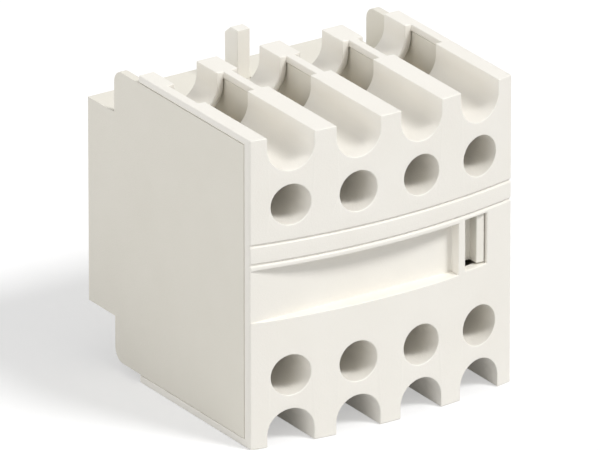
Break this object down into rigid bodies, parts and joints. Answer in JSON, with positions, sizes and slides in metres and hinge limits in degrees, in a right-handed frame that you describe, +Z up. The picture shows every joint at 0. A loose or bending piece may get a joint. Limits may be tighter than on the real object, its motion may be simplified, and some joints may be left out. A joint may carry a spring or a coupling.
{
  "type": "auxiliary contact block",
  "caption": "Front mounted auxiliary contact block with screw terminals behind U-shaped wire channels, a sliding contact carrier and a sprung latch post.",
  "frame": {"origin": "middle of the bounding box at the height of the feet, with the block upright", "axes": "+Z up, +Y to the contactor behind the block, front cover towards -Y, +X to the right seen from the front"},
  "size_m": [0.044, 0.0464, 0.0472],
  "materials": {
    "cover_plastic": "satin",
    "housing_plastic": "satin",
    "rear_plastic": "satin",
    "carrier_plastic": "satin",
    "latch_plastic": "satin",
    "contact_brass": "satin",
    "silver_tip": "satin",
    "zinc_steel": "satin",
    "spring_steel": "satin"
  },
  "bodies": {
    "base": {"front_cover": "cover_plastic", "base_housing": "housing_plastic", "rear_plate": "rear_plastic", "fixed_contact_top_1": "contact_brass", "fixed_contact_top_2": "contact_brass", "fixed_contact_top_3": "contact_brass", "fixed_contact_top_4": "contact_brass", "fixed_contact_bottom_1": "contact_brass", "fixed_contact_bottom_2": "contact_brass", "fixed_contact_bottom_3": "contact_brass", "fixed_contact_bottom_4": "contact_brass", "fixed_tip_top_1": "silver_tip", "fixed_tip_top_2": "silver_tip", "fixed_tip_top_3": "silver_tip", "fixed_tip_top_4": "silver_tip", "fixed_tip_bottom_1": "silver_tip", "fixed_tip_bottom_2": "silver_tip", "fixed_tip_bottom_3": "silver_tip", "fixed_tip_bottom_4": "silver_tip", "return_spring_left": "spring_steel", "return_spring_right": "spring_steel", "latch_spring": "spring_steel"},
    "carrier": {"contact_carrier": "carrier_plastic", "bridge_spring_1": "spring_steel", "bridge_spring_2": "spring_steel", "bridge_spring_3": "spring_steel", "bridge_spring_4": "spring_steel"},
    "bridge_1": {"contact_bridge_1": "contact_brass", "bridge_tips_1": "silver_tip"},
    "bridge_2": {"contact_bridge_2": "contact_brass", "bridge_tips_2": "silver_tip"},
    "bridge_3": {"contact_bridge_3": "contact_brass", "bridge_tips_3": "silver_tip"},
    "bridge_4": {"contact_bridge_4": "contact_brass", "bridge_tips_4": "silver_tip"},
    "latch": {"latch_slide": "latch_plastic"},
    "clamp_top_1": {"clamp_washer_top_1": "zinc_steel"},
    "screw_top_1": {"terminal_screw_top_1": "zinc_steel"},
    "clamp_top_2": {"clamp_washer_top_2": "zinc_steel"},
    "screw_top_2": {"terminal_screw_top_2": "zinc_steel"},
    "clamp_top_3": {"clamp_washer_top_3": "zinc_steel"},
    "screw_top_3": {"terminal_screw_top_3": "zinc_steel"},
    "clamp_top_4": {"clamp_washer_top_4": "zinc_steel"},
    "screw_top_4": {"terminal_screw_top_4": "zinc_steel"},
    "clamp_bottom_1": {"clamp_washer_bottom_1": "zinc_steel"},
    "screw_bottom_1": {"terminal_screw_bottom_1": "zinc_steel"},
    "clamp_bottom_2": {"clamp_washer_bottom_2": "zinc_steel"},
    "screw_bottom_2": {"terminal_screw_bottom_2": "zinc_steel"},
    "clamp_bottom_3": {"clamp_washer_bottom_3": "zinc_steel"},
    "screw_bottom_3": {"terminal_screw_bottom_3": "zinc_steel"},
    "clamp_bottom_4": {"clamp_washer_bottom_4": "zinc_steel"},
    "screw_bottom_4": {"terminal_screw_bottom_4": "zinc_steel"}
  },
  "joints": [
    {"name": "carrier_slide", "type": "slide", "parent": "base", "child": "carrier", "axis": [0, 1, 0], "range_m": [0, 0.003], "stiffness_N_per_m": 300, "springref_m": -0.003, "deforming": ["return_spring_left", "return_spring_right"]},
    {"name": "latch_press", "type": "slide", "parent": "base", "child": "latch", "axis": [0, 0, -1], "range_m": [0, 0.0025], "stiffness_N_per_m": 250, "springref_m": -0.002, "deforming": ["latch_spring"]},
    {"name": "bridge_1_give", "type": "slide", "parent": "carrier", "child": "bridge_1", "axis": [0, -1, 0], "range_m": [0, 0.0006], "stiffness_N_per_m": 400, "springref_m": -0.001, "deforming": ["bridge_spring_1"]},
    {"name": "bridge_2_give", "type": "slide", "parent": "carrier", "child": "bridge_2", "axis": [0, 1, 0], "range_m": [0, 0.0006], "stiffness_N_per_m": 400, "springref_m": -0.001, "deforming": ["bridge_spring_2"]},
    {"name": "bridge_3_give", "type": "slide", "parent": "carrier", "child": "bridge_3", "axis": [0, 1, 0], "range_m": [0, 0.0006], "stiffness_N_per_m": 400, "springref_m": -0.001, "deforming": ["bridge_spring_3"]},
    {"name": "bridge_4_give", "type": "slide", "parent": "carrier", "child": "bridge_4", "axis": [0, -1, 0], "range_m": [0, 0.0006], "stiffness_N_per_m": 400, "springref_m": -0.001, "deforming": ["bridge_spring_4"]},
    {"name": "clamp_top_1_travel", "type": "slide", "parent": "base", "child": "clamp_top_1", "axis": [0, 1, 0], "range_m": [0, 0.0027]},
    {"name": "screw_top_1_turn", "type": "hinge", "parent": "clamp_top_1", "child": "screw_top_1", "pos_m": [-0.0159, -0.0047, 0.0366], "axis": [0, 1, 0], "range_deg": [0, 1620]},
    {"name": "clamp_top_2_travel", "type": "slide", "parent": "base", "child": "clamp_top_2", "axis": [0, 1, 0], "range_m": [0, 0.0027]},
    {"name": "screw_top_2_turn", "type": "hinge", "parent": "clamp_top_2", "child": "screw_top_2", "pos_m": [-0.0053, -0.0047, 0.0366], "axis": [0, 1, 0], "range_deg": [0, 1620]},
    {"name": "clamp_top_3_travel", "type": "slide", "parent": "base", "child": "clamp_top_3", "axis": [0, 1, 0], "range_m": [0, 0.0027]},
    {"name": "screw_top_3_turn", "type": "hinge", "parent": "clamp_top_3", "child": "screw_top_3", "pos_m": [0.0053, -0.0047, 0.0366], "axis": [0, 1, 0], "range_deg": [0, 1620]},
    {"name": "clamp_top_4_travel", "type": "slide", "parent": "base", "child": "clamp_top_4", "axis": [0, 1, 0], "range_m": [0, 0.0027]},
    {"name": "screw_top_4_turn", "type": "hinge", "parent": "clamp_top_4", "child": "screw_top_4", "pos_m": [0.0159, -0.0047, 0.0366], "axis": [0, 1, 0], "range_deg": [0, 1620]},
    {"name": "clamp_bottom_1_travel", "type": "slide", "parent": "base", "child": "clamp_bottom_1", "axis": [0, 1, 0], "range_m": [0, 0.0027]},
    {"name": "screw_bottom_1_turn", "type": "hinge", "parent": "clamp_bottom_1", "child": "screw_bottom_1", "pos_m": [-0.0159, -0.0047, 0.0106], "axis": [0, 1, 0], "range_deg": [0, 1620]},
    {"name": "clamp_bottom_2_travel", "type": "slide", "parent": "base", "child": "clamp_bottom_2", "axis": [0, 1, 0], "range_m": [0, 0.0027]},
    {"name": "screw_bottom_2_turn", "type": "hinge", "parent": "clamp_bottom_2", "child": "screw_bottom_2", "pos_m": [-0.0053, -0.0047, 0.0106], "axis": [0, 1, 0], "range_deg": [0, 1620]},
    {"name": "clamp_bottom_3_travel", "type": "slide", "parent": "base", "child": "clamp_bottom_3", "axis": [0, 1, 0], "range_m": [0, 0.0027]},
    {"name": "screw_bottom_3_turn", "type": "hinge", "parent": "clamp_bottom_3", "child": "screw_bottom_3", "pos_m": [0.0053, -0.0047, 0.0106], "axis": [0, 1, 0], "range_deg": [0, 1620]},
    {"name": "clamp_bottom_4_travel", "type": "slide", "parent": "base", "child": "clamp_bottom_4", "axis": [0, 1, 0], "range_m": [0, 0.0027]},
    {"name": "screw_bottom_4_turn", "type": "hinge", "parent": "clamp_bottom_4", "child": "screw_bottom_4", "pos_m": [0.0159, -0.0047, 0.0106], "axis": [0, 1, 0], "range_deg": [0, 1620]}
  ],
  "couplings": [
    {"joint": "screw_top_1_turn", "follows": "clamp_top_1_travel", "rad_per_m": 10472},
    {"joint": "screw_top_2_turn", "follows": "clamp_top_2_travel", "rad_per_m": 10472},
    {"joint": "screw_top_3_turn", "follows": "clamp_top_3_travel", "rad_per_m": 10472},
    {"joint": "screw_top_4_turn", "follows": "clamp_top_4_travel", "rad_per_m": 10472},
    {"joint": "screw_bottom_1_turn", "follows": "clamp_bottom_1_travel", "rad_per_m": 10472},
    {"joint": "screw_bottom_2_turn", "follows": "clamp_bottom_2_travel", "rad_per_m": 10472},
    {"joint": "screw_bottom_3_turn", "follows": "clamp_bottom_3_travel", "rad_per_m": 10472},
    {"joint": "screw_bottom_4_turn", "follows": "clamp_bottom_4_travel", "rad_per_m": 10472}
  ]
}
